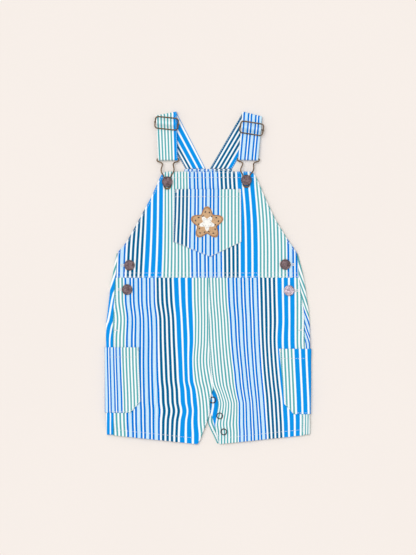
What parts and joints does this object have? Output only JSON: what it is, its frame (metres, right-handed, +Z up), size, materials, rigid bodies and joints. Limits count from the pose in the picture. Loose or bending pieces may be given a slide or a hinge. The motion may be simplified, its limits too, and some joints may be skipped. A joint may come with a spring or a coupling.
{
  "type": "kids bib overalls",
  "caption": "Child's short striped bib dungarees, laid flat on their back, with wire hooks and adjusters on folded straps, patch pockets and an open snap inseam.",
  "frame": {"origin": "centre of the bounding box in X and Y, on the surface that the garment lies on", "axes": "+Z up from the surface towards the garment's front, +Y from the hems to the straps, +X to the right as seen from above"},
  "size_m": [0.2892, 0.466, 0.0088],
  "materials": {
    "striped_cotton": "matt woven cotton with white, blue, teal and green stripes",
    "patch_felt": "brushed felt with a satin-stitched edge",
    "antique_wire": "antiqued wire, satin",
    "button_metal": "antiqued, finely grained, satin"
  },
  "bodies": {
    "root": {"front_bib": "striped_cotton", "back_bib": "striped_cotton", "front_leg_left": "striped_cotton", "front_leg_right": "striped_cotton", "back_leg_left": "striped_cotton", "back_leg_right": "striped_cotton", "crotch_placket": "striped_cotton", "bib_pocket": "striped_cotton", "side_pocket_left": "striped_cotton", "side_pocket_right": "striped_cotton", "strap_left": "striped_cotton", "strap_right": "striped_cotton", "star_patch": "patch_felt", "adjuster_left": "antique_wire", "adjuster_right": "antique_wire", "hook_left": "antique_wire", "hook_right": "antique_wire", "bib_button_left": "button_metal", "bib_button_right": "button_metal", "side_button_upper_left": "button_metal", "side_button_upper_right": "button_metal", "side_button_lower_left": "button_metal", "side_button_lower_right": "button_metal", "snap_ring_1": "antique_wire", "snap_ring_2": "antique_wire", "snap_ring_3": "antique_wire"}
  },
  "joints": []
}
